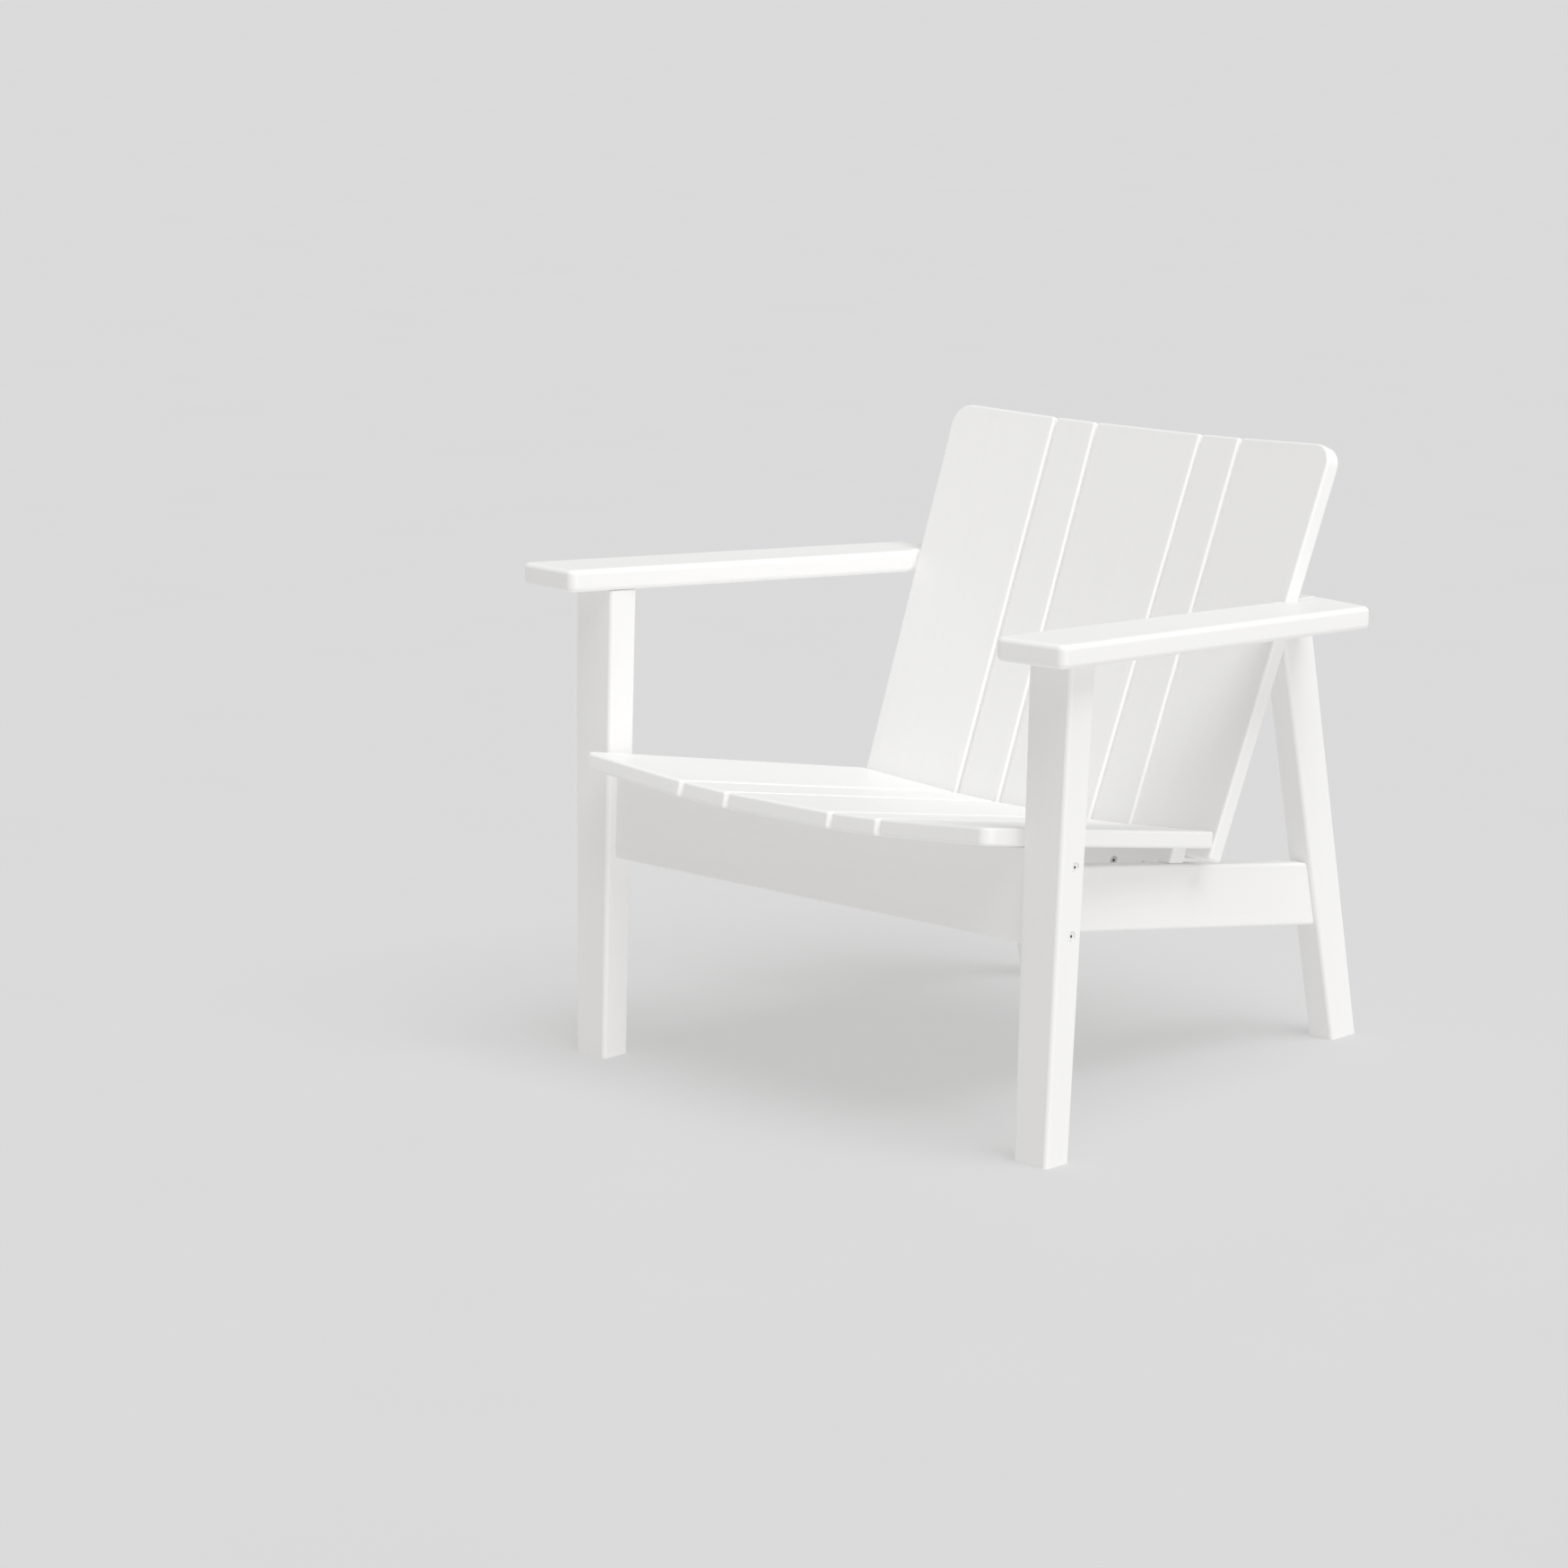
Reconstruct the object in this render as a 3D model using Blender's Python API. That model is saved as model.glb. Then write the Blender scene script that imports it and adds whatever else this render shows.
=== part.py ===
"""A low garden armchair (adirondack style) built from flat boards.

Every board, block, plate, pin and screw is its own object, as on the bench.
+X is the sitter's left (the right-hand side seen from the front), +Y runs to
the rear and +Z is up. Sizes below are millimetres and are turned into metres
once, where a mesh is made. While it is drawn, y = 0 is the front face of the
front legs at the floor; stand_on_origin() then centres the chair on z = 0.
Slopes are millimetres of change for each millimetre along the other axis.
"""
import math

import bmesh
import bpy
from mathutils import Vector

MM = 0.001
GAP = 0.3  # clear distance kept between pieces that touch
SIDES = {"left": -1, "right": 1}

# Board thicknesses
ARM_THICKNESS = 25.4
SLAT_THICKNESS = 19.0
RAIL_THICKNESS = 25.0
APRON_THICKNESS = 22.0
BATTEN_THICKNESS = 25.0

# Armrests and the cross board, which share one sloping top plane
ARM_TOP = 560.0  # height of the armrest's front end
ARM_FRONT = -33.5
ARM_SLOPE = 0.0585
ARM_SPREAD = 793.0  # between the two outer front corners
ARM_WIDTH = 88.9
ARM_LENGTH = 574.0
ARM_TOE_IN = math.radians(4.9)
ARM_REAR_SKEW = 28.5  # how much further back the rear end's inner corner reaches
ARM_FRONT_RADIUS = 10.0  # the two front corners in plan
ARM_REAR_RADIUS = 8.0
NOTCH_CLEARANCE = 3.0  # beside and behind the outer back slat
NOTCH_FRONT_CLEARANCE = 6.0
CROSS_REAR = 578.0

# Front legs
LEG_INNER = 304.5
LEG_OUTER = 350.3
LEG_OUTER_SPLAY = 0.024
LEG_FRONT_LEAN = 0.033
LEG_REAR = 37.4
LEG_REAR_LEAN = 0.037

# Apron between the front legs
APRON_RECESS = 13.0
APRON_BOTTOM = 227.5
APRON_SCOOP_HALF = 294.5  # half the length of the dished part of its top edge

# Rear legs
REAR_LEG_OUTER = 236.3
REAR_LEG_THICKNESS = 35.0
REAR_LEG_THINNING = 0.008
REAR_LEG_FRONT = 634.7
REAR_LEG_FRONT_LEAN = -0.218
REAR_LEG_REAR = 679.8
REAR_LEG_REAR_LEAN = -0.201

# Side rails
RAIL_OUTER = 230.0
RAIL_TOP = 301.6
RAIL_TOP_SLOPE = -0.149
RAIL_BOTTOM = 228.3
RAIL_BOTTOM_SLOPE = -0.1475

# Seat: the lines between its five slats, at the front edge, and how they close in
SEAT_FRONT = -34.7
SEAT_HEIGHT = 344.7
SEAT_SLOPE = -0.171
SEAT_LINES = (76.0, 144.4, 298.0)
SEAT_TAPERS = (0.017, 0.037, 0.089)
SEAT_TILTS = (0.0, 0.039, 0.08)
SEAT_CORNER_RADIUS = 13.0
SEAT_END_CLEARANCE = 5.5

# Back: the lines between its five slats, at the top edge, and how they close in
BACK_Y = 425.2  # front face of the middle slat at BACK_Z
BACK_Z = 330.0
BACK_RECLINE = math.radians(22.8)
BACK_TOP = 389.0  # along the slats, from BACK_Z
BACK_BOTTOM = -122.0
BACK_BOTTOM_OVER_RAIL = -88.0  # where the outer slats stand over the side rails
BACK_RAIL_CLEARANCE = 3.0
BACK_LINES = (76.9, 135.5, 277.2)
BACK_TAPERS = (0.019, 0.013, 0.035)
BACK_TILTS = (0.0, 0.057, 0.119)
BACK_CORNER_RADIUS = 24.0
SLAT_GAP = 3.6
SLAT_RADIUS = 1.5
OUTER_SLAT_REAR_RADIUS = 4.5

# Battens, cleat and corner blocks under the seat
REAR_BATTEN_FRONT = 353.0  # at REAR_BATTEN_Z
REAR_BATTEN_Z = 258.0
REAR_BATTEN_BOTTOM = 202.0
MIDDLE_BATTEN_Y = 171.0
MIDDLE_BATTEN_BOTTOM = 232.0
BATTEN_HALF_LENGTH = 225.0
CLEAT_DEPTH = 22.0
CLEAT_BOTTOM = 272.0
BLOCK_SIDE = 28.0
BLOCK_BOTTOM = 238.0
BLOCK_SCREW_INSET = 8.4
BLOCK_SCREW_STAGGER = 6.0  # above and below the block's middle, so that the two screws miss each other
BLOCK_RAIL_SCREW_LENGTH = 48.0
BLOCK_APRON_SCREW_LENGTH = 44.0

# Hardware
SCREW_HEAD_RADIUS = 4.6
SCREW_HEAD_DEPTH = 3.2
SCREW_SHANK_RADIUS = 2.2
SCREW_TIP_LENGTH = 4.0
DRIVE_RADIUS = 1.7
DRIVE_DEPTH = 1.8
SCREW_SIDES = 12
LEG_SCREW_HEIGHTS = (243.7, 316.4)
LEG_SCREW_SETBACK = 22.4  # behind the leg's front face
LEG_SCREW_LENGTH = 90.0
RAIL_SCREW_HEIGHTS = (172.0, 202.0)
RAIL_SCREW_LENGTH = 90.0
RAIL_SCREW_SINK = 1.0  # below the rear leg's surface
LOWER_BACK_SCREW_HEIGHT = 243.0
LOWER_BACK_SCREWS = {  # slat index, half-width and screw length
    "middle": (0, 36.0, 50.0),
    "narrow": (1, 100.0, 46.0),
    "outer_near": (2, 147.0, 44.0),
    "outer_far": (2, 188.0, 38.0),
}
UPPER_BACK_SCREWS = {  # slat index and place along the cross board
    "middle": (0, 0.0),
    "left_narrow": (1, -103.0),
    "right_narrow": (1, 103.0),
    "left_outer": (2, -188.0),
    "right_outer": (2, 188.0),
}
UPPER_SCREW_BITE = 11.0  # depth into the back slat
LEG_TOP_SCREW_Y = 548.0
LEG_TOP_SCREW_LENGTH = 70.0
PIN_RADIUS = 4.0
PIN_LENGTH = 44.0
PIN_RISE = 16.0  # length of pin inside the armrest
PLATE_LENGTH = 38.0
PLATE_WIDTH = 30.0
PLATE_THICKNESS = 3.0
PLATE_CORNER_RADIUS = 4.0
PLATE_Y = 545.0
PLATE_SCREW_OFFSET = 11.0  # to each side of the seam
PLATE_SCREW_LENGTH = 22.0

ARC_STEPS = 8
SOLVER_STEPS = 12
SHARP_ANGLE = math.radians(40)

MATERIALS = {
    "white_board": ((0.86, 0.86, 0.85), 0.45, 0.0),
    "stainless_steel": ((0.62, 0.62, 0.60), 0.35, 1.0),
}


# ---------------------------------------------------------------- meshes

def material(name):
    """The named material, made on first use."""
    found = bpy.data.materials.get(name)
    if found:
        return found
    colour, roughness, metallic = MATERIALS[name]
    made = bpy.data.materials.new(name)
    made.use_nodes = True
    shader = made.node_tree.nodes["Principled BSDF"]
    shader.inputs["Base Color"].default_value = (*colour, 1)
    shader.inputs["Roughness"].default_value = roughness
    shader.inputs["Metallic"].default_value = metallic
    return made


def new_object(name, mesh_maker, slot):
    """An object whose mesh mesh_maker fills in, in millimetres."""
    shape = bmesh.new()
    mesh_maker(shape)
    bmesh.ops.recalc_face_normals(shape, faces=shape.faces)
    bmesh.ops.scale(shape, vec=(MM, MM, MM), verts=shape.verts)
    mesh = bpy.data.meshes.new(name)
    shape.to_mesh(mesh)
    shape.free()
    mesh.materials.append(material(slot))
    made = bpy.data.objects.new(name, mesh)
    bpy.context.scene.collection.objects.link(made)
    return made


def loft(name, loops, slot="white_board"):
    """A closed body skinned over loops that have the same number of points."""
    def fill(shape):
        rings = [[shape.verts.new(point) for point in loop] for loop in loops]
        for ring, following in zip(rings, rings[1:]):
            for i in range(len(ring)):
                j = (i + 1) % len(ring)
                shape.faces.new((ring[i], ring[j], following[j], following[i]))
        shape.faces.new(rings[0])
        shape.faces.new(rings[-1])
    return new_object(name, fill, slot)


def lathe(name, profile, base, direction, slot="stainless_steel"):
    """A body turned about direction; profile holds (radius, distance) pairs from axis to axis."""
    turn = Vector(direction).to_track_quat("Z", "Y").to_matrix()

    def fill(shape):
        rings = []
        for radius, distance in profile:
            count = SCREW_SIDES if radius else 1
            ring = []
            for k in range(count):
                angle = 2 * math.pi * k / SCREW_SIDES
                offset = Vector((radius * math.cos(angle), radius * math.sin(angle), distance))
                ring.append(shape.verts.new(Vector(base) + turn @ offset))
            rings.append(ring)
        for ring, following in zip(rings, rings[1:]):
            for k in range(SCREW_SIDES):
                m = (k + 1) % SCREW_SIDES
                corners = [ring[k % len(ring)], ring[m % len(ring)]]
                corners += [following[m % len(following)], following[k % len(following)]]
                shape.faces.new(dict.fromkeys(corners))
    made = new_object(name, fill, slot)
    made.data.shade_smooth()
    made.data.set_sharp_from_angle(angle=SHARP_ANGLE)
    return made


def helper(made):
    """Marks an object as a cutter, which is no part of the chair."""
    made.hide_render = True
    made.display_type = "WIRE"
    return made


def cut(board, cutter):
    """Takes the cutter's shape out of the board with a Boolean modifier."""
    modifier = board.modifiers.new(cutter.name, "BOOLEAN")
    modifier.operation = "DIFFERENCE"
    modifier.solver = "EXACT"
    modifier.object = cutter


def rounded(points, radii):
    """The 2-D outline with an arc of the given radius at each corner that has one."""
    outline = []
    for i, radius in enumerate(radii):
        corner = Vector(points[i])
        if not radius:
            outline.append(corner)
            continue
        before = (Vector(points[i - 1]) - corner).normalized()
        after = (Vector(points[(i + 1) % len(points)]) - corner).normalized()
        half = before.angle(after) / 2
        centre = corner + (before + after).normalized() * (radius / math.sin(half))
        start = corner + before * (radius / math.tan(half)) - centre
        sweep = math.pi - 2 * half
        turn = math.copysign(1, before.cross(after))
        for step in range(ARC_STEPS + 1):
            angle = -turn * sweep * step / ARC_STEPS
            cosine, sine = math.cos(angle), math.sin(angle)
            swung = Vector((start.x * cosine - start.y * sine, start.x * sine + start.y * cosine))
            outline.append(centre + swung)
    return outline


# ---------------------------------------------------------------- surfaces

def line_at(lines, tapers, index, distance):
    """Half-width of the slat line with this index (0 at the middle slat's edge)."""
    return lines[index] - tapers[index] * distance


def seat_line(index, y):
    return line_at(SEAT_LINES, SEAT_TAPERS, index, y - SEAT_FRONT)


def back_line(index, s):
    return line_at(BACK_LINES, BACK_TAPERS, index, BACK_TOP - s)


def dish(index, x, line, tilts):
    """How far the slat with this index rises above the middle one at half-width x."""
    rise = 0.0
    for k in range(1, index + 1):
        end = x if k == index else line(k)
        rise += tilts[k] * (end - line(k - 1))
    return rise


def seat_top(index, x, y):
    """Height of the seat slat's top face; index 0 is the middle slat, 2 the outer one."""
    rise = dish(index, x, lambda k: seat_line(k, y), SEAT_TILTS)
    return SEAT_HEIGHT + SEAT_SLOPE * (y - SEAT_FRONT) + rise


def seat_underside(index, x, y):
    drop = SLAT_THICKNESS * math.sqrt(1 + SEAT_SLOPE**2 + SEAT_TILTS[index] ** 2)
    return seat_top(index, x, y) - drop - GAP


def back_point(index, x, s, depth=0.0):
    """A point on the back slat's front face, or that far behind it; s runs up the slat."""
    forward = dish(index, x, lambda k: back_line(k, s), BACK_TILTS) - depth
    sine, cosine = math.sin(BACK_RECLINE), math.cos(BACK_RECLINE)
    return Vector((x, BACK_Y + s * sine - forward * cosine, BACK_Z + s * cosine + forward * sine))


def back_y(index, x, z, depth=0.0):
    """Where the back slat's front face, or the plane that far behind it, stands at a height."""
    s = (z - BACK_Z) / math.cos(BACK_RECLINE)
    for _ in range(SOLVER_STEPS):
        s += (z - back_point(index, x, s, depth).z) / math.cos(BACK_RECLINE)
    return back_point(index, x, s, depth).y


def arm_plane(y, below=0.0):
    """Height of the top plane of armrests and cross board, or of a plane that far below it."""
    drop = below * math.sqrt(1 + ARM_SLOPE**2)
    return ARM_TOP - ARM_SLOPE * (y - ARM_FRONT) - drop


def arm_point(along, inward):
    """A point in plan on the right-hand armrest, from its outer front corner."""
    sine, cosine = math.sin(ARM_TOE_IN), math.cos(ARM_TOE_IN)
    skew = ARM_REAR_SKEW * (along / ARM_LENGTH) * (inward / ARM_WIDTH)
    x = ARM_SPREAD / 2 - sine * along - cosine * inward
    return Vector((x, ARM_FRONT + cosine * along - sine * inward + skew))


def arm_inner_x(y):
    """The armrest's inner edge in plan, which runs straight from front to rear."""
    front, rear = arm_point(0, ARM_WIDTH), arm_point(ARM_LENGTH, ARM_WIDTH)
    return front.x + (rear.x - front.x) * (y - front.y) / (rear.y - front.y)


def solve_y(height_at, start):
    """The y at which a leaning edge y(z) meets a sloping plane z(y)."""
    y_of, z_of = height_at
    y = start
    for _ in range(SOLVER_STEPS):
        y = y_of(z_of(y))
    return y


# ---------------------------------------------------------------- frame

def front_leg(name, side):
    under = lambda y: arm_plane(y, ARM_THICKNESS) - GAP
    front = solve_y((lambda z: LEG_FRONT_LEAN * z, under), 0)
    rear = solve_y((lambda z: LEG_REAR + LEG_REAR_LEAN * z, under), LEG_REAR)
    outer = lambda z: LEG_OUTER + LEG_OUTER_SPLAY * z
    loops = []
    for (y_front, z_front), (y_rear, z_rear) in (
        ((0, 0), (LEG_REAR, 0)),
        ((front, under(front)), (rear, under(rear))),
    ):
        loops.append([
            (side * LEG_INNER, y_front, z_front),
            (side * outer(z_front), y_front, z_front),
            (side * outer(z_rear), y_rear, z_rear),
            (side * LEG_INNER, y_rear, z_rear),
        ])
    return loft(name, loops)


def rear_leg(name, side):
    under = lambda y: arm_plane(y, ARM_THICKNESS) - GAP
    front_of = lambda z: REAR_LEG_FRONT + REAR_LEG_FRONT_LEAN * z
    rear_of = lambda z: REAR_LEG_REAR + REAR_LEG_REAR_LEAN * z
    inner = lambda z: REAR_LEG_OUTER - REAR_LEG_THICKNESS + REAR_LEG_THINNING * z
    front, rear = solve_y((front_of, under), 500), solve_y((rear_of, under), 550)
    loops = []
    for (y_front, z_front), (y_rear, z_rear) in (
        ((front_of(0), 0), (rear_of(0), 0)),
        ((front, under(front)), (rear, under(rear))),
    ):
        loops.append([
            (side * inner(z_front), y_front, z_front),
            (side * REAR_LEG_OUTER, y_front, z_front),
            (side * REAR_LEG_OUTER, y_rear, z_rear),
            (side * inner(z_rear), y_rear, z_rear),
        ])
    return loft(name, loops)


def rail_outline(margin=0.0):
    """The side rail seen from the side, grown by a margin above and below."""
    corners = []
    for height, slope, grow in (
        (RAIL_TOP, RAIL_TOP_SLOPE, margin),
        (RAIL_BOTTOM, RAIL_BOTTOM_SLOPE, -margin),
    ):
        edge = lambda y: height + slope * y + grow
        front = solve_y((lambda z: LEG_REAR + LEG_FRONT_LEAN * z + GAP, edge), 40)
        rear = solve_y((lambda z: REAR_LEG_FRONT + REAR_LEG_FRONT_LEAN * z - GAP, edge), 580)
        corners.append(((front, edge(front)), (rear, edge(rear))))
    (top_front, top_rear), (low_front, low_rear) = corners
    return [low_front, top_front, top_rear, low_rear]


def side_rail(name, side, margin=0.0):
    outer, inner = RAIL_OUTER + margin, RAIL_OUTER - RAIL_THICKNESS - margin
    loops = [[(side * x, y, z) for y, z in rail_outline(margin)] for x in (outer, inner)]
    return loft(name, loops)


def scooped_loop(y_at, bottom, half_length):
    """A cross board's front or rear face: flat bottom, top dished to the seat's underside.

    y_at(z) gives the face's y, so that a leaning face stays flat.
    """
    stations = [
        (2, lambda y: half_length),
        (2, lambda y: seat_line(1, y)),
        (1, lambda y: seat_line(0, y)),
    ]
    top = []
    for index, width_at in stations:
        y = y_at(SEAT_HEIGHT - SLAT_THICKNESS)
        for _ in range(SOLVER_STEPS):
            width = width_at(y)
            z = seat_underside(index, width, y)
            y = y_at(z)
        top.append((-width, y, z))
    top += [(-x, y, z) for x, y, z in reversed(top)]
    ends = [(x, y_at(bottom), bottom) for x in (half_length, -half_length)]
    return top + ends


def apron():
    half = LEG_INNER - GAP
    front = lambda z: APRON_RECESS + LEG_FRONT_LEAN * z
    rear = lambda z: APRON_RECESS + APRON_THICKNESS + LEG_FRONT_LEAN * z
    loops = [scooped_loop(face, APRON_BOTTOM, APRON_SCOOP_HALF) for face in (front, rear)]
    board = []
    for loop, face in zip(loops, (front, rear)):
        shoulder = loop[0]
        ends = [(x, shoulder[1], shoulder[2]) for x in (-half, half)]
        low = [(x, face(APRON_BOTTOM), APRON_BOTTOM) for x in (half, -half)]
        board.append(ends[:1] + loop[:-2] + ends[1:] + low)
    return loft("front_apron", board)


def armrest(name, side):
    """An armrest with a slanting notch in its inner edge for the outer back slat."""
    corners = [arm_point(0, 0), arm_point(0, ARM_WIDTH)]
    rear = [arm_point(ARM_LENGTH, ARM_WIDTH), arm_point(ARM_LENGTH, 0)]
    loops = []
    for below in (0.0, ARM_THICKNESS):
        notch_z = arm_plane(back_y(2, arm_inner_x(BACK_Y), ARM_TOP - ARM_THICKNESS), below)
        s = (notch_z - BACK_Z) / math.cos(BACK_RECLINE)
        edge = back_line(2, s)
        front_y = back_y(2, edge, notch_z) - NOTCH_FRONT_CLEARANCE
        rear_y = back_y(2, edge, notch_z, SLAT_THICKNESS) + NOTCH_CLEARANCE
        deep = edge + NOTCH_CLEARANCE
        notch = [
            Vector((arm_inner_x(front_y), front_y)),
            Vector((deep, front_y)),
            Vector((deep, rear_y)),
            Vector((arm_inner_x(rear_y), rear_y)),
        ]
        radii = [ARM_FRONT_RADIUS, ARM_FRONT_RADIUS, 0, 0, 0, 0, 0, ARM_REAR_RADIUS]
        outline = rounded(corners + notch + rear, radii)
        loops.append([(side * x, y, arm_plane(y, below)) for x, y in outline])
    return loft(name, loops)


def cross_board():
    """The board behind the back, flush with the armrests, dished to the back slats."""
    loops = []
    for below in (0.0, ARM_THICKNESS):
        half = []
        for index in (0, 1, 2):
            y = CROSS_REAR
            for _ in range(SOLVER_STEPS):
                z = arm_plane(y, below)
                s = (z - BACK_Z) / math.cos(BACK_RECLINE)
                x = back_line(index, s) if index < 2 else arm_inner_x(y) - 2 * GAP
                y = back_y(index, x, z, SLAT_THICKNESS) + 2 * GAP
            half.append((x, y))
        rear_inner = arm_point(ARM_LENGTH, ARM_WIDTH)
        slope = ARM_REAR_SKEW / ARM_WIDTH - math.sin(ARM_TOE_IN)
        end_x = rear_inner.x - 2 * GAP
        half.append((end_x, rear_inner.y))
        half.append((end_x - (CROSS_REAR - rear_inner.y) / slope, CROSS_REAR))
        outline = half + [(-x, y) for x, y in reversed(half)]
        loops.append([(x, y, arm_plane(y, below)) for x, y in outline])
    return loft("rear_cross_board", loops)


# ---------------------------------------------------------------- seat and back

def slat_names(kind):
    """Name, slat index and side for the five slats of the seat or the back."""
    yield f"{kind}_slat_middle", 0, 1
    for word, side in SIDES.items():
        yield f"{kind}_slat_{word}_narrow", 1, side
        yield f"{kind}_slat_{word}_outer", 2, side


def edges_of(index, line_of):
    """Inner and outer edge of a slat as half-widths, half a gap inside its lines."""
    inner = (lambda v: -(line_of(0, v) - SLAT_GAP / 2)) if index == 0 else (
        lambda v: line_of(index - 1, v) + SLAT_GAP / 2)
    outer = (lambda v: line_of(2, v)) if index == 2 else (
        lambda v: line_of(index, v) - SLAT_GAP / 2)
    return inner, outer


def slat(name, side, outline, place):
    """A slat whose outline lies on the surface place(x, v), thickened behind it."""
    front = [place(x, v) for x, v in outline]
    origin = place(*outline[0])
    across = place(outline[0][0] + 1, outline[0][1]) - origin
    along = place(outline[0][0], outline[0][1] + 1) - origin
    normal = across.cross(along).normalized()
    rear = [point - normal * SLAT_THICKNESS for point in front]
    return loft(name, [[(side * x, y, z) for x, y, z in loop] for loop in (front, rear)])


def seat_slat(name, index, side):
    inner, outer = edges_of(index, seat_line)

    def rear_corner(edge):
        y = BACK_Y
        for _ in range(SOLVER_STEPS):
            x = abs(edge(y))
            y = back_y(index, x, seat_top(index, x, y)) - SEAT_END_CLEARANCE
        return edge(y), y

    corners = [(inner(SEAT_FRONT), SEAT_FRONT), (outer(SEAT_FRONT), SEAT_FRONT)]
    corners += [rear_corner(outer), rear_corner(inner)]
    front_outer = SEAT_CORNER_RADIUS if index == 2 else SLAT_RADIUS
    rear_outer = OUTER_SLAT_REAR_RADIUS if index == 2 else SLAT_RADIUS
    outline = rounded(corners, [SLAT_RADIUS, front_outer, rear_outer, SLAT_RADIUS])
    return slat(name, side, outline, lambda x, y: Vector((x, y, seat_top(index, x, y))))


def back_slat(name, index, side):
    inner, outer = edges_of(index, back_line)
    top = [(outer(BACK_TOP), BACK_TOP), (inner(BACK_TOP), BACK_TOP)]
    if index == 2:
        beside_rail = RAIL_OUTER - RAIL_THICKNESS - BACK_RAIL_CLEARANCE
        low = BACK_BOTTOM_OVER_RAIL
        bottom = [(inner(BACK_BOTTOM), BACK_BOTTOM), (beside_rail, BACK_BOTTOM)]
        bottom += [(beside_rail, low), (outer(low), low)]
        radii = [SLAT_RADIUS, SLAT_RADIUS, 0, SLAT_RADIUS, BACK_CORNER_RADIUS, SLAT_RADIUS]
    else:
        bottom = [(inner(BACK_BOTTOM), BACK_BOTTOM), (outer(BACK_BOTTOM), BACK_BOTTOM)]
        radii = [SLAT_RADIUS] * 4
    outline = rounded(bottom + top, radii)
    return slat(name, side, outline, lambda x, s: back_point(index, x, s))


# ---------------------------------------------------------------- hidden supports

def rear_batten():
    """The deep batten that carries the seat's rear ends and the back's lower ends."""
    lean = math.tan(BACK_RECLINE)
    front = lambda z: REAR_BATTEN_FRONT + (z - REAR_BATTEN_Z) * lean
    front_loop = scooped_loop(front, REAR_BATTEN_BOTTOM, BATTEN_HALF_LENGTH)
    indices = (2, 2, 1, 1, 2, 2)
    bottom = REAR_BATTEN_BOTTOM
    sections = []
    for (x, y, z), index in zip(front_loop, indices):
        rear_top = z
        for _ in range(SOLVER_STEPS):
            rear_y = back_y(index, abs(x), rear_top) - GAP
            rear_top = seat_underside(index, abs(x), rear_y)
        sections.append([
            (x, front(bottom), bottom),
            (x, y, z),
            (x, rear_y, rear_top),
            (x, back_y(index, abs(x), bottom) - GAP, bottom),
        ])
    return loft("rear_seat_batten", sections)


def middle_batten():
    faces = (MIDDLE_BATTEN_Y, MIDDLE_BATTEN_Y + BATTEN_THICKNESS)
    loops = [
        scooped_loop(lambda z, y=y: y, MIDDLE_BATTEN_BOTTOM, BATTEN_HALF_LENGTH) for y in faces
    ]
    return loft("middle_seat_batten", loops)


def front_cleat():
    inside = RAIL_OUTER - RAIL_THICKNESS - GAP
    start = APRON_RECESS + APRON_THICKNESS + GAP
    loops = [
        scooped_loop(lambda z, y=y: y + LEG_FRONT_LEAN * z, CLEAT_BOTTOM, inside)
        for y in (start, start + CLEAT_DEPTH)
    ]
    return loft("front_seat_cleat", loops)


def corner_block(name, side):
    """A square block in the corner between a side rail and the apron."""
    outer = RAIL_OUTER - RAIL_THICKNESS - GAP
    start = APRON_RECESS + APRON_THICKNESS + GAP
    loops = []
    for z in (BLOCK_BOTTOM, BLOCK_BOTTOM + BLOCK_SIDE):
        y = start + LEG_FRONT_LEAN * z
        loops.append([
            (side * (outer - BLOCK_SIDE), y, z),
            (side * outer, y, z),
            (side * outer, y + BLOCK_SIDE, z),
            (side * (outer - BLOCK_SIDE), y + BLOCK_SIDE, z),
        ])
    return loft(name, loops)


def joint_plate(name, side, centre):
    """A steel plate under the seam between an armrest and the cross board."""
    top = ARM_THICKNESS + GAP
    loops = []
    for below in (top, top + PLATE_THICKNESS):
        corners = [
            (centre[0] + a * PLATE_LENGTH / 2, centre[1] + b * PLATE_WIDTH / 2)
            for a, b in ((-1, -1), (1, -1), (1, 1), (-1, 1))
        ]
        outline = rounded(corners, [PLATE_CORNER_RADIUS] * len(corners))
        loops.append([(side * x, y, arm_plane(y, below)) for x, y in outline])
    return loft(name, loops, "stainless_steel")


# ---------------------------------------------------------------- hardware

def screw(name, head, direction, length, boards):
    """A countersunk screw with a round drive hole, and its hole in the boards it goes through."""
    shank_end = length - SCREW_TIP_LENGTH
    profile = [
        (0, DRIVE_DEPTH),
        (DRIVE_RADIUS, DRIVE_DEPTH),
        (DRIVE_RADIUS, 0),
        (SCREW_HEAD_RADIUS, 0),
        (SCREW_SHANK_RADIUS, SCREW_HEAD_DEPTH),
        (SCREW_SHANK_RADIUS, shank_end),
        (0, length),
    ]
    lathe(name, profile, head, direction)
    wide = SCREW_SHANK_RADIUS + GAP
    hole = [
        (0, -SCREW_HEAD_DEPTH),
        (SCREW_HEAD_RADIUS + GAP + SCREW_HEAD_DEPTH, -SCREW_HEAD_DEPTH),
        (wide, SCREW_HEAD_DEPTH + GAP),
        (wide, length + GAP),
        (0, length + GAP),
    ]
    cutter = helper(lathe(f"hole_for_{name}", hole, head, direction))
    for board in boards:
        cut(board, cutter)


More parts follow.
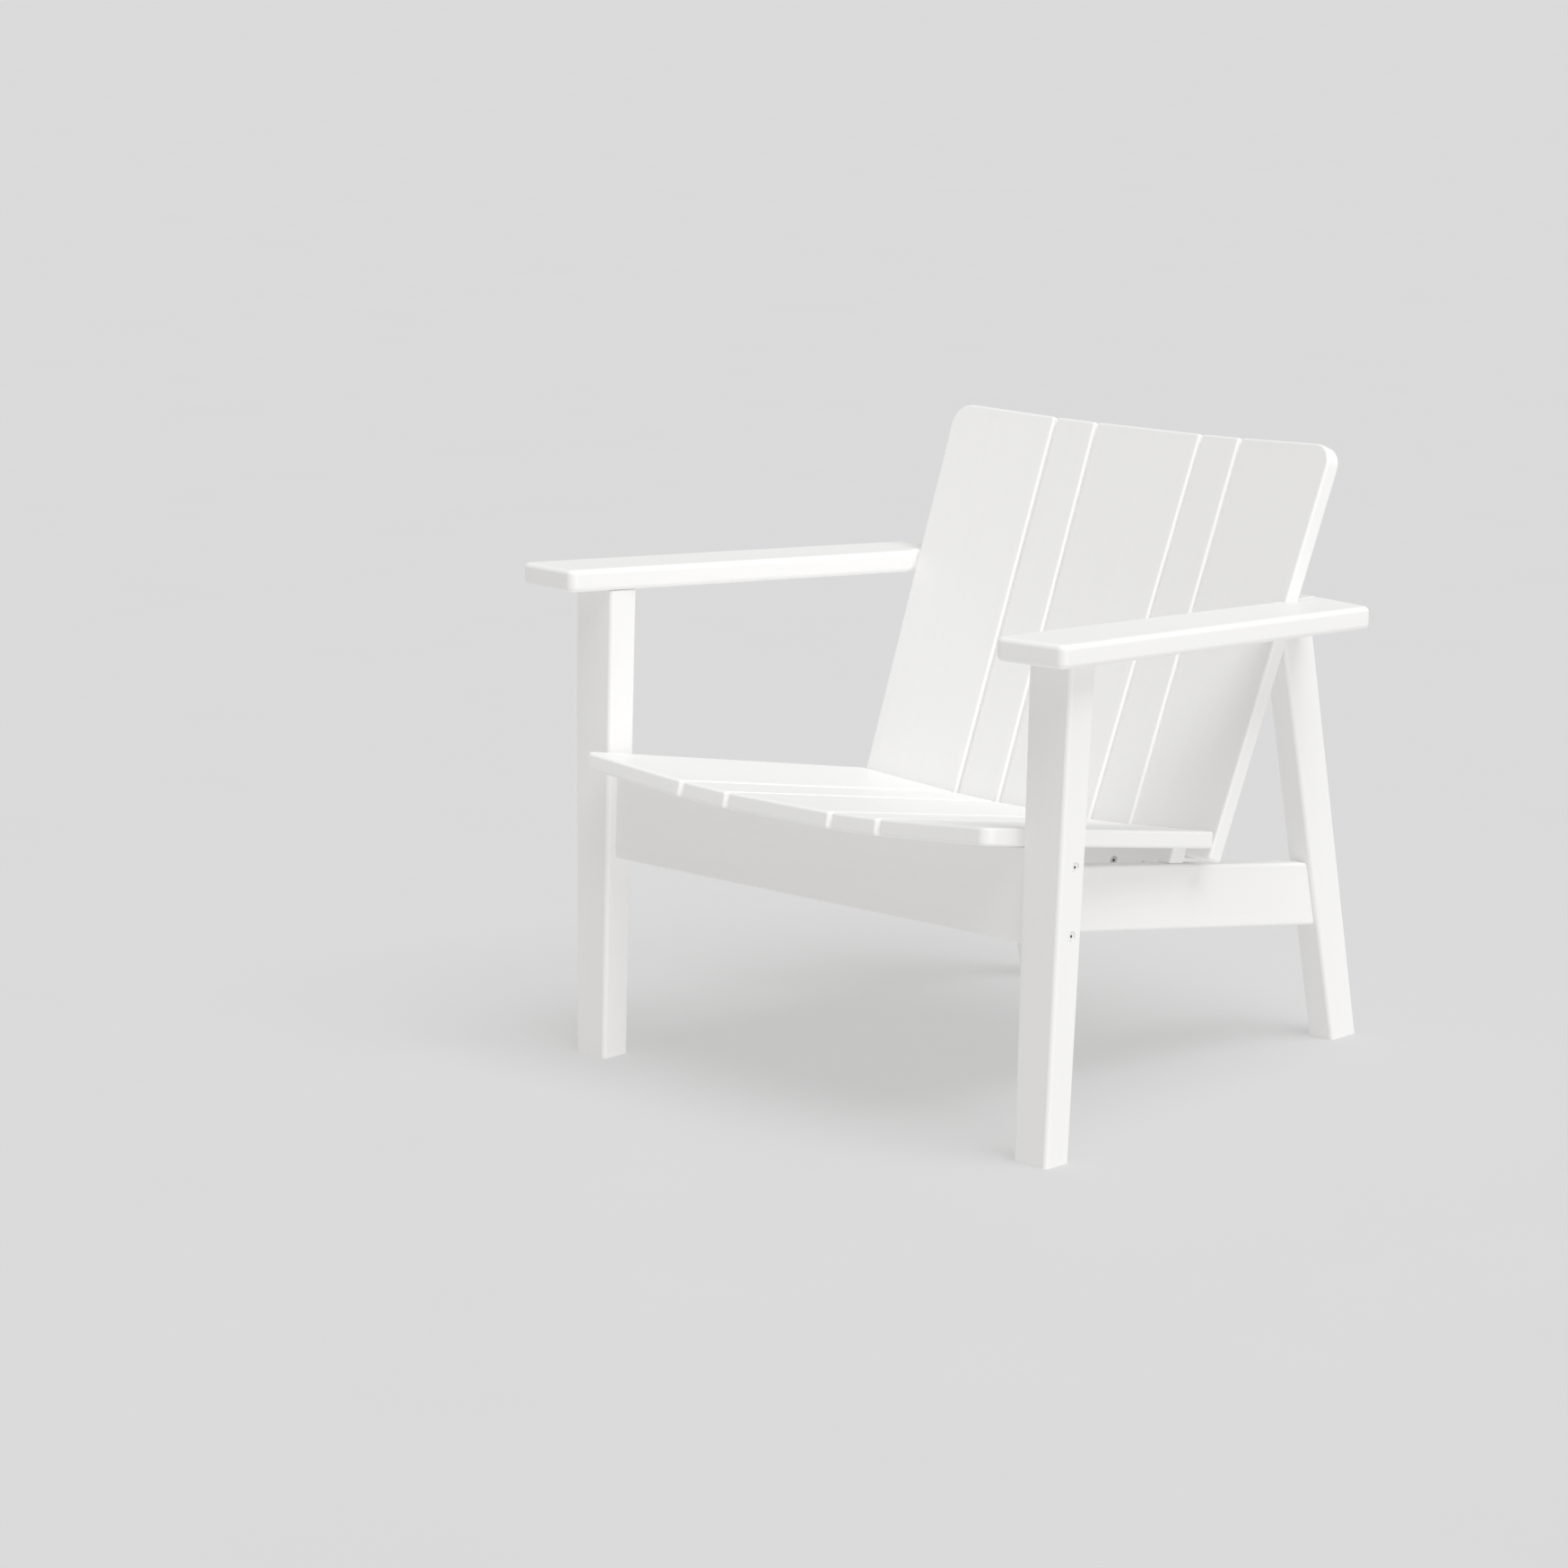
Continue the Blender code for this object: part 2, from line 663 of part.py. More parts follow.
def leg_screws(legs, board):
    for word, side in SIDES.items():
        for level, height in zip(("lower", "upper"), LEG_SCREW_HEIGHTS):
            outer = LEG_OUTER + LEG_OUTER_SPLAY * height
            head = (side * outer, LEG_FRONT_LEAN * height + LEG_SCREW_SETBACK, height)
            name = f"leg_screw_{word}_{level}"
            screw(name, head, (-side, 0, 0), LEG_SCREW_LENGTH, (legs[word], board))


def rail_screws(legs, rails):
    """Two screws through each rear leg into the end of its side rail."""
    for word, side in SIDES.items():
        for level, height in zip(("lower", "upper"), RAIL_SCREW_HEIGHTS):
            x = side * (RAIL_OUTER - RAIL_THICKNESS / 2)
            y = REAR_LEG_REAR + REAR_LEG_REAR_LEAN * height - RAIL_SCREW_SINK
            name = f"rail_screw_{word}_{level}"
            screw(name, (x, y, height), (0, -1, 0), RAIL_SCREW_LENGTH, (legs[word], rails[word]))


def block_screws(blocks, rails, board):
    """Two screws in each corner block, one into the side rail and one into the apron."""
    z = BLOCK_BOTTOM + BLOCK_SIDE / 2
    y = APRON_RECESS + APRON_THICKNESS + GAP + LEG_FRONT_LEAN * z
    inner = RAIL_OUTER - RAIL_THICKNESS - GAP - BLOCK_SIDE
    for word, side in SIDES.items():
        block = blocks[word]
        head = (side * inner, y + BLOCK_SCREW_INSET, z - BLOCK_SCREW_STAGGER)
        name = f"block_rail_screw_{word}"
        screw(name, head, (side, 0, 0), BLOCK_RAIL_SCREW_LENGTH, (block, rails[word]))
        head = (side * (inner + BLOCK_SCREW_INSET), y + BLOCK_SIDE, z + BLOCK_SCREW_STAGGER)
        name = f"block_apron_screw_{word}"
        screw(name, head, (0, -1, 0), BLOCK_APRON_SCREW_LENGTH, (block, board))


def batten_screws(board, slats):
    """Screws through the rear batten into the lower ends of the back slats."""
    sine, cosine = math.sin(BACK_RECLINE), math.cos(BACK_RECLINE)
    z = LOWER_BACK_SCREW_HEIGHT
    y = REAR_BATTEN_FRONT + (z - REAR_BATTEN_Z) * sine / cosine
    for place, (index, x, length) in LOWER_BACK_SCREWS.items():
        for word, side in SIDES.items():
            name = f"lower_back_screw_{word}_{place}"
            target = slats[("back", index, side if index else 1)]
            screw(name, (side * x, y, z), (0, cosine, -sine), length, (board, target))


def cross_screws(board, slats, legs):
    """Long screws from the cross board's rear edge into the back slats, and one down into each leg."""
    centre_z = arm_plane(CROSS_REAR, ARM_THICKNESS / 2)
    for place, (index, x) in UPPER_BACK_SCREWS.items():
        slat_rear = back_y(index, abs(x), centre_z, SLAT_THICKNESS)
        length = CROSS_REAR - slat_rear + UPPER_SCREW_BITE
        target = slats[("back", index, math.copysign(1, x))]
        head = (x, CROSS_REAR, centre_z)
        screw(f"upper_back_screw_{place}", head, (0, -1, ARM_SLOPE), length, (board, target))
    for word, side in SIDES.items():
        x = side * (REAR_LEG_OUTER - REAR_LEG_THICKNESS / 2)
        head = (x, LEG_TOP_SCREW_Y, arm_plane(LEG_TOP_SCREW_Y))
        name = f"leg_top_screw_{word}"
        screw(name, head, (0, 0, -1), LEG_TOP_SCREW_LENGTH, (board, legs[word]))


def arm_hardware(arms, legs, board):
    """Steel pins between armrests and front legs, and plates under the rear seams."""
    for word, side in SIDES.items():
        y = LEG_REAR / 2 + LEG_FRONT_LEAN * ARM_TOP
        x = (LEG_INNER + LEG_OUTER + LEG_OUTER_SPLAY * ARM_TOP) / 2
        base = (side * x, y, arm_plane(y, ARM_THICKNESS) + PIN_RISE)
        pin = [(0, 0), (PIN_RADIUS, 0), (PIN_RADIUS, PIN_LENGTH), (0, PIN_LENGTH)]
        lathe(f"arm_pin_{word}", pin, base, (0, 0, -1))
        wide = PIN_RADIUS + GAP
        hole = [(0, -GAP), (wide, -GAP), (wide, PIN_LENGTH + GAP), (0, PIN_LENGTH + GAP)]
        cutter = helper(lathe(f"hole_for_arm_pin_{word}", hole, base, (0, 0, -1)))
        cut(arms[word], cutter)
        cut(legs[word], cutter)
        centre = (arm_inner_x(PLATE_Y), PLATE_Y)
        plate = joint_plate(f"arm_joint_plate_{word}", side, centre)
        under_plate = arm_plane(PLATE_Y, ARM_THICKNESS + GAP + PLATE_THICKNESS)
        for where, turn, host in (("arm", 1, arms[word]), ("board", -1, board)):
            head = (side * (centre[0] + turn * PLATE_SCREW_OFFSET), PLATE_Y, under_plate)
            name = f"plate_screw_{word}_{where}"
            screw(name, head, (0, ARM_SLOPE, 1), PLATE_SCREW_LENGTH, (plate, host))


# ---------------------------------------------------------------- the chair

def clear_scene():
    for old in list(bpy.data.objects):
        bpy.data.objects.remove(old)


def stand_on_origin():
    """Moves the chair so that its box is centred on the origin and its feet stand on z = 0."""
    bpy.context.view_layer.update()
    corners = [
        made.matrix_world @ Vector(corner)
        for made in bpy.data.objects
        if not made.hide_render
        for corner in made.bound_box
    ]
    centre_y = (min(c.y for c in corners) + max(c.y for c in corners)) / 2
    for made in bpy.data.objects:
        made.location.y -= centre_y


def build():
    front_legs = {word: front_leg(f"front_leg_{word}", side) for word, side in SIDES.items()}
    rear_legs = {word: rear_leg(f"rear_leg_{word}", side) for word, side in SIDES.items()}
    rails = {word: side_rail(f"side_rail_{word}", side) for word, side in SIDES.items()}
    arms = {word: armrest(f"armrest_{word}", side) for word, side in SIDES.items()}
    blocks = {word: corner_block(f"corner_block_{word}", side) for word, side in SIDES.items()}
    front_board, board = apron(), cross_board()
    slats = {}
    for name, index, side in slat_names("seat"):
        slats[("seat", index, side)] = seat_slat(name, index, side)
    for name, index, side in slat_names("back"):
        slats[("back", index, side)] = back_slat(name, index, side)
    battens = (rear_batten(), middle_batten())
    front_cleat()
    for word, side in SIDES.items():
        space = helper(side_rail(f"space_for_rail_{word}", side, GAP))
        for batten in battens:
            cut(batten, space)
    leg_screws(front_legs, front_board)
    rail_screws(rear_legs, rails)
    block_screws(blocks, rails, front_board)
    batten_screws(battens[0], slats)
    cross_screws(board, slats, rear_legs)
    arm_hardware(arms, front_legs, board)


clear_scene()
build()
stand_on_origin()
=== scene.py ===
"""The finished look of a low slatted garden armchair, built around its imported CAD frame.

Each board is rebuilt from its CAD node: the outer faces are read off the node, the long edges
are rounded, and the screw holes are cut again with a pocket for the head. Each screw gets a
finer head with a six-lobe socket. Pins and plates keep their CAD meshes and get new steel.
Everything is in metres.
"""
import math
import random

import bmesh
import bpy
import numpy as np
from mathutils import Matrix, Vector


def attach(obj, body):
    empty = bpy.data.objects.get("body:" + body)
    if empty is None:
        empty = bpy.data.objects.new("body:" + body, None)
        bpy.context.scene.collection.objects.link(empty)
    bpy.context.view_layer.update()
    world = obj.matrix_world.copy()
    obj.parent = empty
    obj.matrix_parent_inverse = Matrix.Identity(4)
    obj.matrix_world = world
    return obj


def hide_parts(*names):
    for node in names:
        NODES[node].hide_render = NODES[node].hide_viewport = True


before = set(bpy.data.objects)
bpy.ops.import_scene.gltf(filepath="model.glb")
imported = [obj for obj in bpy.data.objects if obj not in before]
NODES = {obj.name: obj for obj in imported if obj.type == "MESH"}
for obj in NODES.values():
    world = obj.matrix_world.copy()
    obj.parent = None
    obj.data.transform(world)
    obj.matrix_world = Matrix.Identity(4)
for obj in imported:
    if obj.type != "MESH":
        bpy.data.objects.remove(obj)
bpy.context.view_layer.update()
MM = 0.001

# Camera: a long lens, from the front right and well above the armrests
CAMERA_PLACE = Vector((3.5132, -4.02447, 1.3922))
CAMERA_AIM = Vector((-0.67688, 0.70885, -0.19841))
CAMERA_LENS = 111.85
CAMERA_SENSOR = 36.0
CAMERA_REACH = 200.0

# Light: a wide soft key from the right and above, an even surround and faint fills
SURROUND = 0.56
SURROUND_TINT = (1.01, 1.0, 0.98)
BACKDROP_GLOW = 0.70
KEY = (0.23, -0.03, 0.49)  # how brightly it lights faces that look along X, Y and Z
KEY_TINT = (0.985, 1.0, 1.02)
KEY_ANGLE = math.radians(40)
FILLS = {  # lights without shadows, as white reflector boards give
    "front_fill": (0, -0.085, 0),
    "rear_fill": (0, 0.06, 0),
    "right_fill": (0.22, 0, 0),
    "left_fill": (-0.06, 0, 0),
    "low_fill": (0, 0, -0.11),
    "high_fill": (0, 0, 0.03),
}
FILL_TINT = (1.02, 1.0, 0.97)
FILL_ANGLE = math.radians(20)
FLOOR_HALF = 45.0
BACKDROP_RADIUS = 44.0
BACKDROP_FOOT = -0.1 * BACKDROP_RADIUS  # the dome reaches this low, below the floor
FLOOR_ALBEDO = 0.30
FLOOR_LIGHT = [  # per colour channel, away from all shadows
    SURROUND * SURROUND_TINT[i] + KEY[2] * KEY_TINT[i] + FILLS["high_fill"][2] * FILL_TINT[i]
    for i in range(3)
]
FLOOR_GLOW = [BACKDROP_GLOW - FLOOR_ALBEDO * light for light in FLOOR_LIGHT]

# Boards
FLAT_ANGLE = math.radians(0.6)  # faces closer than this are one flat face
SHARP_ANGLE = math.radians(30)  # edges that turn more than this are sharp
SMOOTH_ANGLE = math.radians(35)  # finished edges that turn less than this are shaded smooth
WELD = 1e-5  # points closer than this are one point
TINY_ARC = 1.0 * MM  # corner arcs with shorter steps than this become one corner
TINY_ARC_REACH = 20 * MM  # how far such a corner may lie from its arc
ROUND_SEGMENTS = 6
LONG_EDGE = 0.7  # cosine between a board's axis and an edge that counts as long
FLAT_FACE_WEIGHT = 80  # how firmly the shading keeps large faces flat
PLACE_SHIFT = 9.0  # range of the random shift of each board's texture
END_SHARPNESS = 6  # how quickly the sawn look fades on faces that turn away from the end
EDGE_RADII = {
    "armrest": 6.0 * MM,
    "front_leg": 5.0 * MM,
    "rear_leg": 5.0 * MM,
    "rear_cross_board": 4.5 * MM,
    "seat_slat": 3.5 * MM,
    "back_slat": 3.0 * MM,
    "side_rail": 4.0 * MM,
    "front_apron": 3.0 * MM,
    "rear_seat_batten": 2.5 * MM,
    "middle_seat_batten": 2.5 * MM,
    "front_seat_cleat": 2.0 * MM,
    "corner_block": 2.0 * MM,
}

# Boards that end against another board, or on the floor, keep square-cut ends
LONG_EDGES_ONLY = ("front_leg", "rear_leg", "side_rail", "front_apron", "rear_cross_board")

# Screws
HEAD_RADIUS = 4.5 * MM
HEAD_DEPTH = 3.2 * MM
HEAD_SINK = 0.9 * MM  # below the board's face
HEAD_RIM = 0.35 * MM  # rounding of the head's outer edge
SHANK_RADIUS = 2.2 * MM
TIP_LENGTH = 4.0 * MM
SOCKET_RADIUS = 1.55 * MM
SOCKET_LOBE = 0.13  # share of the socket's radius that its lobes swing
SOCKET_LOBES = 6
SOCKET_DEPTH = 2.2 * MM
SOCKET_POINT = 0.5 * MM  # the cone at the bottom of the socket
SOCKET_RIM = 0.2 * MM
SOCKET_TAPER = 0.8  # the socket's radius at its bottom, as a share of that at its top
HOLE_CLEARANCE = 0.3 * MM
POCKET_RADIUS = 5.5 * MM  # the pocket that the head sits in
POCKET_DEPTH = 1.6 * HEAD_SINK
SCREW_SIDES = 36
SKIN = 0.05 * MM  # points this close to a screw's end belong to its head face
SCREW_BOARDS = {  # the start of a screw's name, and the boards it goes through, head first
    "leg_screw_{side}": ("front_leg_{side}", "front_apron"),
    "rail_screw_{side}": ("rear_leg_{side}", "side_rail_{side}"),
    "block_rail_screw_{side}": ("corner_block_{side}", "side_rail_{side}"),
    "block_apron_screw_{side}": ("corner_block_{side}", "front_apron"),
    "lower_back_screw_{side}_middle": ("rear_seat_batten", "back_slat_middle"),
    "lower_back_screw_{side}_narrow": ("rear_seat_batten", "back_slat_{side}_narrow"),
    "lower_back_screw_{side}_outer": ("rear_seat_batten", "back_slat_{side}_outer"),
    "upper_back_screw_middle": ("rear_cross_board", "back_slat_middle"),
    "upper_back_screw_{side}_narrow": ("rear_cross_board", "back_slat_{side}_narrow"),
    "upper_back_screw_{side}_outer": ("rear_cross_board", "back_slat_{side}_outer"),
    "leg_top_screw_{side}": ("rear_cross_board", "rear_leg_{side}"),
    "plate_screw_{side}_arm": ("armrest_{side}",),
    "plate_screw_{side}_board": ("rear_cross_board",),
}

# Colours
BOARD_CLEAN = (0.845, 0.844, 0.841, 1)
BOARD_STREAKED = (0.832, 0.830, 0.824, 1)
BOARD_SPECK = (0.78, 0.77, 0.75, 1)
# painted highlight: rounded edges are coloured a little lighter than the board
BOARD_EDGE_HIGHLIGHT = (0.855, 0.854, 0.851, 1)
STEEL = (0.60, 0.60, 0.585, 1)
STEEL_WORN = (0.47, 0.465, 0.45, 1)
COAT = (0.83, 0.83, 0.82, 1)
COAT_WORN = (0.74, 0.735, 0.72, 1)
# Painted shade: the socket's hollow is bare steel coloured near black, darker in patches, to
# stand for the shade deep inside it
SOCKET_SHADE = (0.16, 0.16, 0.155, 1)
SOCKET_SHADE_PATCHES = (0.10, 0.095, 0.09, 1)


# ---------------------------------------------------------------- materials

class Nodes:
    """Short calls for making and joining the nodes of one material."""

    def __init__(self, name):
        self.material = bpy.data.materials.new(name)
        self.material.use_nodes = True
        self.tree = self.material.node_tree
        self.shader = self.tree.nodes["Principled BSDF"]

    def join(self, output, socket):
        self.tree.links.new(output, socket)

    def feed(self, socket, value):
        """Joins another node's output to the socket, or sets the socket's own value."""
        if isinstance(value, bpy.types.NodeSocket):
            self.join(value, socket)
        else:
            socket.default_value = value

    def add(self, kind, inputs=None, **settings):
        node = self.tree.nodes.new(kind)
        for name, value in settings.items():
            setattr(node, name, value)
        for name, value in (inputs or {}).items():
            self.feed(node.inputs[name], value)
        return node

    def set(self, **values):
        """Sets the shader's own sockets; an underscore stands for a space in a name."""
        for name, value in values.items():
            self.shader.inputs[name.replace("_", " ")].default_value = value

    def noise(self, vector, detail, scale=1.0, roughness=0.55):
        inputs = {"Vector": vector, "Scale": scale, "Detail": detail, "Roughness": roughness}
        return self.add("ShaderNodeTexNoise", inputs).outputs["Fac"]

    def stretched(self, vector, scale):
        return self.add("ShaderNodeMapping", {"Vector": vector, "Scale": scale}).outputs[0]

    def spread(self, value, low, high, to_low, to_high):
        """Maps the range low..high onto to_low..to_high."""
        inputs = {0: value, 1: low, 2: high, 3: to_low, 4: to_high}
        return self.add("ShaderNodeMapRange", inputs).outputs[0]

    def maths(self, operation, a, b):
        return self.add("ShaderNodeMath", {0: a, 1: b}, operation=operation).outputs[0]

    def mix(self, factor, a, b):
        """Mixes two colours; the numbers are the colour sockets of a mix node."""
        return self.add("ShaderNodeMix", {0: factor, 6: a, 7: b}, data_type="RGBA").outputs[2]

    def bump(self, height, strength, distance, normal=None):
        inputs = {"Height": height, "Strength": strength, "Distance": distance}
        if normal is not None:
            inputs["Normal"] = normal
        return self.add("ShaderNodeBump", inputs).outputs[0]


def board_material():
    """Satin white board: faint streaks along it, a fine skin texture, dust specks, sawn ends.

    It reads three attributes of the mesh: the place along the board's own axes, how much a
    point is on a rounded edge, and how much a face is a sawn end.
    """
    n = Nodes("white_board_satin")
    along = n.add("ShaderNodeAttribute", attribute_name="board_place").outputs["Vector"]
    edge = n.add("ShaderNodeAttribute", attribute_name="rounded_edge").outputs["Fac"]
    end = n.add("ShaderNodeAttribute", attribute_name="sawn_end").outputs["Fac"]
    cloud = n.noise(along, scale=7.0, detail=3.0)
    streak = n.noise(n.stretched(along, (5.0, 130.0, 130.0)), detail=6.0, roughness=0.6)
    skin = n.noise(n.stretched(along, (1.0, 2.0, 2.0)), scale=520.0, detail=3.0)
    saw = n.noise(n.stretched(along, (40.0, 1400.0, 60.0)), detail=3.0)
    dust = n.noise(along, scale=210.0, detail=2.0)

    streaks = n.spread(streak, 0.35, 0.7, 0.0, 1.0)
    tone = n.maths("MULTIPLY", streaks, n.spread(cloud, 0.3, 0.7, 0.25, 1.0))
    colour = n.mix(tone, BOARD_CLEAN, BOARD_STREAKED)
    colour = n.mix(n.spread(dust, 0.70, 0.76, 0.0, 0.35), colour, BOARD_SPECK)
    # Painted highlight: rounded edges are mixed towards a lighter colour
    colour = n.mix(n.maths("MULTIPLY", edge, 0.6), colour, BOARD_EDGE_HIGHLIGHT)
    n.join(colour, n.shader.inputs["Base Color"])

    rough = n.spread(streak, 0.3, 0.7, 0.40, 0.50)
    rough = n.maths("ADD", rough, n.spread(cloud, 0.3, 0.7, -0.03, 0.03))
    rough = n.maths("ADD", rough, n.maths("MULTIPLY", end, 0.12))
    rough = n.maths("SUBTRACT", rough, n.maths("MULTIPLY", edge, 0.06))
    n.join(rough, n.shader.inputs["Roughness"])

    wave = n.bump(cloud, strength=0.15, distance=0.5 * MM)
    lines = n.bump(streak, strength=0.05, distance=0.2 * MM, normal=wave)
    fine = n.bump(skin, strength=0.08, distance=0.1 * MM, normal=lines)
    sawn = n.maths("MULTIPLY", saw, end)
    cuts = n.bump(sawn, strength=0.5, distance=0.3 * MM, normal=fine)
    n.join(cuts, n.shader.inputs["Normal"])
    n.set(IOR=1.5, Specular_IOR_Level=0.4)
    return n.material


def steel_material(name, colour, worn, metallic, rough):
    """Steel, bare or under a thin coat, with fine marks and dull patches; rough is a range."""
    n = Nodes(name)
    place = n.add("ShaderNodeTexCoord").outputs["Object"]
    patch = n.noise(place, scale=380.0, detail=3.0)
    marks = n.noise(n.stretched(place, (2600.0, 500.0, 2600.0)), detail=4.0)
    patches = n.spread(patch, 0.4, 0.75, 0.0, 0.8)
    n.join(n.mix(patches, colour, worn), n.shader.inputs["Base Color"])
    n.join(n.spread(marks, 0.3, 0.7, *rough), n.shader.inputs["Roughness"])
    n.join(n.bump(marks, strength=0.15, distance=0.03 * MM), n.shader.inputs["Normal"])
    n.set(Metallic=metallic)
    return n.material


def floor_material():
    """A pale sheet that glows a little, so that shadows on it stay faint."""
    n = Nodes("pale_floor")
    place = n.add("ShaderNodeTexCoord").outputs["Object"]
    cloud = n.noise(place, scale=3.0, detail=5.0)
    tone = n.spread(cloud, 0.3, 0.7, FLOOR_ALBEDO * 0.99, FLOOR_ALBEDO * 1.01)
    n.join(tone, n.shader.inputs["Base Color"])
    n.set(Roughness=0.9, Specular_IOR_Level=0.0)
    n.set(Emission_Color=(*FLOOR_GLOW, 1), Emission_Strength=1.0)
    return n.material


# ---------------------------------------------------------------- board shells

def flat_groups(shape):
    """The faces of a mesh gathered into flat groups, always in the same order."""
    waiting = dict.fromkeys(shape.faces)
    groups = []
    while waiting:
        first = next(iter(waiting))
        del waiting[first]
        group, open_faces = {first: None}, [first]
        while open_faces:
            face = open_faces.pop()
            for edge in face.edges:
                for other in edge.link_faces:
                    if other in waiting and edge.calc_face_angle(math.pi) < FLAT_ANGLE:
                        del waiting[other]
                        group[other] = None
                        open_faces.append(other)
        groups.append(group)
    return groups


def outer_loop(group):
    """The longest boundary of a flat group, as vertices in order."""
    following = {}
    for face in group:
        for loop in face.loops:
            others = [other for other in loop.edge.link_faces if other is not face]
            if not others or others[0] not in group:
                following.setdefault(loop.vert, []).append(loop.link_loop_next.vert)
    longest, best = [], 0.0
    while following:
        start = next(iter(following))
        path, at = [], start
        while at in following:
            path.append(at)
            onward = following[at].pop()
            if not following[at]:
                del following[at]
            at = onward
        length = sum((a.co - b.co).length for a, b in zip(path, path[1:] + path[:1]))
        if length > best:
            longest, best = path, length
    return longest


def largest_body(shape):
    """Deletes all but the body with the biggest box; the walls of screw holes are the others."""
    waiting = dict.fromkeys(shape.faces)
    bodies = []
    while waiting:
        first = next(iter(waiting))
        del waiting[first]
        body, open_faces = [first], [first]
        while open_faces:
            face = open_faces.pop()
            for edge in face.edges:
                for other in edge.link_faces:
                    if other in waiting:
                        del waiting[other]
                        body.append(other)
                        open_faces.append(other)
        points = np.array([v.co for face in body for v in face.verts])
        diagonal = float(np.linalg.norm(points.max(0) - points.min(0)))
        bodies.append((diagonal, body))
    bodies.sort(key=lambda pair: pair[0])
    for _, body in bodies[:-1]:
        bmesh.ops.delete(shape, geom=body, context="FACES")
    loose = [v for v in shape.verts if not v.link_faces]
    bmesh.ops.delete(shape, geom=loose, context="VERTS")


def merge_tiny_arcs(shape):
    """Turns each corner arc with very short steps into one sharp corner.

    The corner goes where the two edges that run into the arc would meet.
    """
    short = dict.fromkeys(edge for edge in shape.edges if edge.calc_length() < TINY_ARC)
    while short:
        first = next(iter(short))
        del short[first]
        chain, open_edges = {}, [first]
        while open_edges:
            edge = open_edges.pop()
            chain.update(dict.fromkeys(edge.verts))
            for vert in edge.verts:
                for other in vert.link_edges:
                    if other in short:
                        del short[other]
                        open_edges.append(other)
        runs = []
        for vert in chain:
            for edge in vert.link_edges:
                other = edge.other_vert(vert)
                if other not in chain:
                    runs.append((vert.co.copy(), (vert.co - other.co).normalized()))
        best, corner = 0.0, sum((v.co for v in chain), Vector()) / len(chain)
        for i, (a, u) in enumerate(runs):
            for b, w in runs[i + 1:]:
                turn = u.cross(w)
                if turn.length < math.sin(SHARP_ANGLE) or (a - b).length < WELD:
                    continue
                gap = b - a
                t = gap.cross(w).dot(turn) / turn.length_squared
                miss = (a + u * t - b - w * (gap.cross(u).dot(turn) / turn.length_squared)).length
                score = (a - b).length / (1 + miss / WELD)
                if score > best and 0 <= t < TINY_ARC_REACH:
                    best, corner = score, a + u * t
        bmesh.ops.pointmerge(shape, verts=list(chain), merge_co=corner)


def board_shell(node):
    """A board's outer faces as flat polygons, without its screw holes."""
    source = bmesh.new()
    source.from_mesh(NODES[node].data)
    bmesh.ops.remove_doubles(source, verts=source.verts, dist=WELD)
    shape = bmesh.new()
    copies = {}
    for group in flat_groups(source):
        path = outer_loop(group)
        if len(path) < 3:
            continue
        for vert in path:
            if vert not in copies:
                copies[vert] = shape.verts.new(vert.co)
        corners = list(dict.fromkeys(copies[vert] for vert in path))
        if shape.faces.get(corners) is None:
            shape.faces.new(corners)
    source.free()
    largest_body(shape)
    merge_tiny_arcs(shape)
    straight = [
        v for v in shape.verts
        if len(v.link_edges) == 2 and v.calc_edge_angle(math.pi) < FLAT_ANGLE
    ]
    bmesh.ops.dissolve_verts(shape, verts=straight)
    bmesh.ops.recalc_face_normals(shape, faces=shape.faces)
    open_edges = [edge for edge in shape.edges if len(edge.link_faces) != 2]
    if open_edges:
        raise ValueError(f"{node} has {len(open_edges)} open edges")
    return shape


def long_axis(shape):
    """The direction in which a board is longest."""
    points = np.array([v.co for v in shape.verts])
    return Vector(np.linalg.svd(points - points.mean(0), full_matrices=False)[2][0])


def round_edges(shape, radius, square_ends):
    """Rounds the convex sharp edges and marks the rounded points."""
    sharp = [edge for edge in shape.edges if edge.calc_face_angle_signed(0) > SHARP_ANGLE]
    if square_ends:
        axis = long_axis(shape)
        sharp = [
            edge for edge in sharp
            if abs((edge.verts[0].co - edge.verts[1].co).normalized().dot(axis)) > LONG_EDGE
        ]
    made = bmesh.ops.bevel(
        shape, geom=sharp, offset=radius, offset_type="OFFSET", segments=ROUND_SEGMENTS,
        profile=0.5, affect="EDGES", clamp_overlap=False, loop_slide=False,
    )
    marks = shape.verts.layers.float.new("rounded_edge")
    rounded = set(made["faces"])
    for vert in shape.verts:
        vert[marks] = 1.0 if all(face in rounded for face in vert.link_faces) else 0.0


def new_piece(name, shape, *materials):
    """A new object in the scene, made from a BMesh."""
    mesh = bpy.data.meshes.new(name)
    shape.to_mesh(mesh)
    shape.free()
    for material in materials:
        mesh.materials.append(material)
    piece = bpy.data.objects.new(name, mesh)
    bpy.context.scene.collection.objects.link(piece)
    return piece


# ---------------------------------------------------------------- screws

def turned(profile, base, direction):
    """A body turned about direction; profile holds (radius, distance, lobe) from axis to axis."""
    turn = direction.to_track_quat("Z", "Y").to_matrix()
    shape = bmesh.new()
    rings = []
    for radius, distance, lobe in profile:
        ring = []
        for k in range(SCREW_SIDES if radius else 1):
            angle = 2 * math.pi * k / SCREW_SIDES
            r = radius * (1 + lobe * math.cos(SOCKET_LOBES * angle))
            offset = Vector((r * math.cos(angle), r * math.sin(angle), distance))
            ring.append(shape.verts.new(base + turn @ offset))
        rings.append(ring)
    for ring, following in zip(rings, rings[1:]):
        for k in range(SCREW_SIDES):
            m = (k + 1) % SCREW_SIDES
            corners = [ring[k % len(ring)], ring[m % len(ring)]]
            corners += [following[m % len(following)], following[k % len(following)]]
            shape.faces.new(list(dict.fromkeys(corners)))
    bmesh.ops.recalc_face_normals(shape, faces=shape.faces)
    return shape


